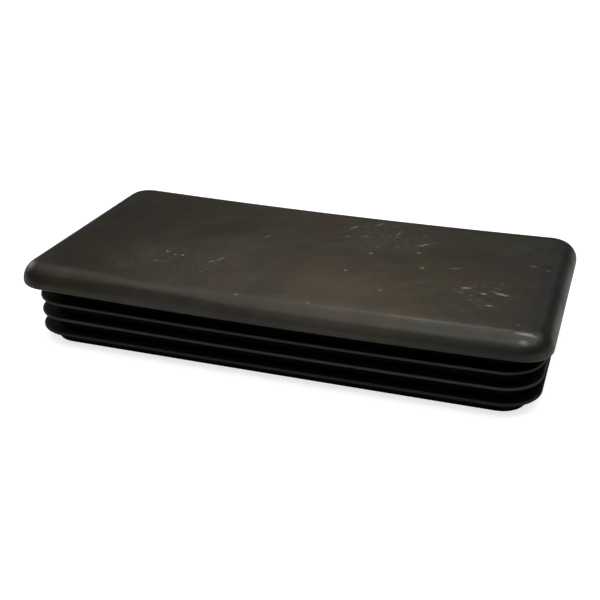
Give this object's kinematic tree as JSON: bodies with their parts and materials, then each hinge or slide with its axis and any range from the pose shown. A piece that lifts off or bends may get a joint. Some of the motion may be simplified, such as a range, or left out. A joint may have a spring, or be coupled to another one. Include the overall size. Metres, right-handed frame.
{
  "type": "tube end cap",
  "caption": "Ribbed plastic insert that closes the end of a rectangular tube: flush head with a rounded edge, hollow skirt and thin gripping fins.",
  "frame": {"origin": "middle of the head's underside, in the plane that seats on the tube's end", "axes": "+X along the long side, +Y along the short side, +Z out of the tube"},
  "size_m": [0.12, 0.06, 0.0199],
  "materials": {
    "black_plastic": "satin, as moulded"
  },
  "bodies": {
    "root": {"end_cap": "black_plastic"}
  },
  "joints": []
}
